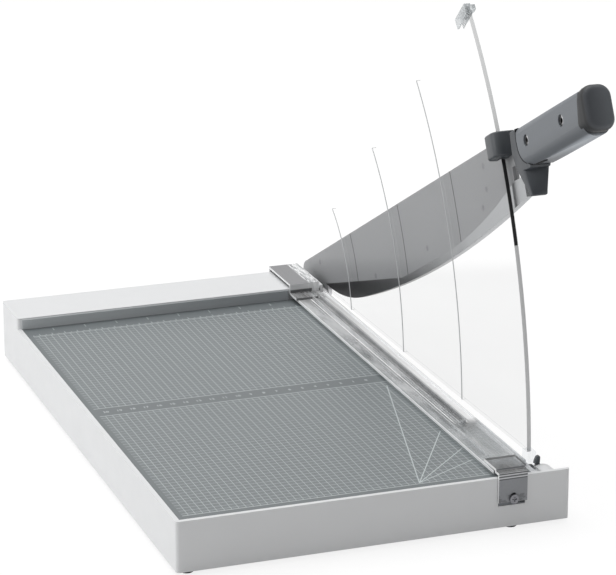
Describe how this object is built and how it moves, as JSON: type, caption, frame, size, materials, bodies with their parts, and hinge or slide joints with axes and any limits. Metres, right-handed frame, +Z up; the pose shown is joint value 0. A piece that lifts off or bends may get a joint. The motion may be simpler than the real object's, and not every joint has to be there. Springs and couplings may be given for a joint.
{
  "type": "guillotine paper cutter",
  "caption": "Desktop guillotine cutter: gridded table, spring-raised clear clamp bar, clear sector guard and a curved blade on a pivoting arm with a hand grip.",
  "frame": {"origin": "centre of the whole cutter's footprint with the arm at its modelled angle, handle included, on the surface it stands on", "axes": "+X from the table's free edge to the blade, +Y from the operator to the fence, +Z up"},
  "size_m": [0.28, 0.5566, 0.3356],
  "materials": {
    "base_shell": "white moulded casing",
    "table_plate": "grey gridded table",
    "stop_rail": "dark grey strip",
    "bottom_cover": "grey moulded cover",
    "cover_screws": "zinc-plated",
    "rubber_feet": "black rubber",
    "side_rail": "extruded",
    "lower_blade": "ground edge",
    "lower_blade_screws": "plain",
    "pivot_bracket": "dark paint",
    "pivot_bolt": "zinc-plated",
    "pivot_nut": "zinc-plated",
    "thrust_washer": "low-friction polymer",
    "pivot_washer": "zinc-plated",
    "wave_spring": "spring steel",
    "clamp_seats": "grey plastic",
    "clamp_guide_screws": "plated",
    "clamp_spring_front": "spring wire",
    "clamp_spring_rear": "spring wire",
    "clamp_bar": "clear acrylic",
    "clamp_rear_bracket": "clear acrylic",
    "clamp_front_bracket": "clear acrylic",
    "guard_panel": "clear acrylic",
    "guard_stop_clip": "clear acrylic",
    "guard_foot": "clear acrylic",
    "guard_screws": "plated",
    "brake_strip": "black",
    "blade_arm": "satin grey paint",
    "knife": "ground steel",
    "knife_screws": "grey",
    "tang_rivets": "grey",
    "pivot_bush": "turned brass",
    "handle_left": "satin grey",
    "handle_right": "satin grey",
    "handle_cap": "dark grey",
    "handle_screws": "black oxide",
    "handle_nuts": "plated",
    "finger_guard": "dark grey",
    "guard_slider": "dark grey",
    "latch_lever": "dark grey",
    "latch_pin": "plated",
    "latch_spring": "spring wire",
    "stop_pad": "black rubber"
  },
  "bodies": {
    "base": {"base_shell": "base_shell", "table_plate": "table_plate", "stop_rail": "stop_rail", "bottom_cover": "bottom_cover", "cover_screws": "cover_screws", "rubber_feet": "rubber_feet", "side_rail": "side_rail", "lower_blade": "lower_blade", "lower_blade_screws": "lower_blade_screws", "pivot_bracket": "pivot_bracket", "pivot_bolt": "pivot_bolt", "pivot_nut": "pivot_nut", "thrust_washer": "thrust_washer", "pivot_washer": "pivot_washer", "wave_spring": "wave_spring", "clamp_seats": "clamp_seats", "clamp_guide_screws": "clamp_guide_screws", "clamp_spring_front": "clamp_spring_front", "clamp_spring_rear": "clamp_spring_rear", "guard_panel": "guard_panel", "guard_stop_clip": "guard_stop_clip", "guard_foot": "guard_foot", "guard_screws": "guard_screws", "brake_strip": "brake_strip", "latch_pin": "latch_pin", "latch_spring": "latch_spring", "stop_pad": "stop_pad"},
    "clamp": {"clamp_bar": "clamp_bar", "clamp_rear_bracket": "clamp_rear_bracket", "clamp_front_bracket": "clamp_front_bracket"},
    "blade": {"blade_arm": "blade_arm", "knife": "knife", "knife_screws": "knife_screws", "tang_rivets": "tang_rivets", "pivot_bush": "pivot_bush", "handle_left": "handle_left", "handle_right": "handle_right", "handle_cap": "handle_cap", "handle_screws": "handle_screws", "handle_nuts": "handle_nuts", "finger_guard": "finger_guard", "guard_slider": "guard_slider"},
    "latch": {"latch_lever": "latch_lever"}
  },
  "joints": [
    {"name": "blade_hinge", "type": "hinge", "parent": "base", "child": "blade", "pos_m": [0.117, 0.25756, 0.031], "axis": [-1, 0, 0], "range_deg": [-23, 11]},
    {"name": "clamp_slide", "type": "slide", "parent": "base", "child": "clamp", "axis": [0, 0, 1], "range_m": [-0.002, 0], "deforming": ["clamp_spring_front", "clamp_spring_rear"]},
    {"name": "latch_tilt", "type": "hinge", "parent": "base", "child": "latch", "pos_m": [0.1254, -0.17794, 0.0325], "axis": [0, -1, 0], "range_deg": [0, 14]}
  ]
}
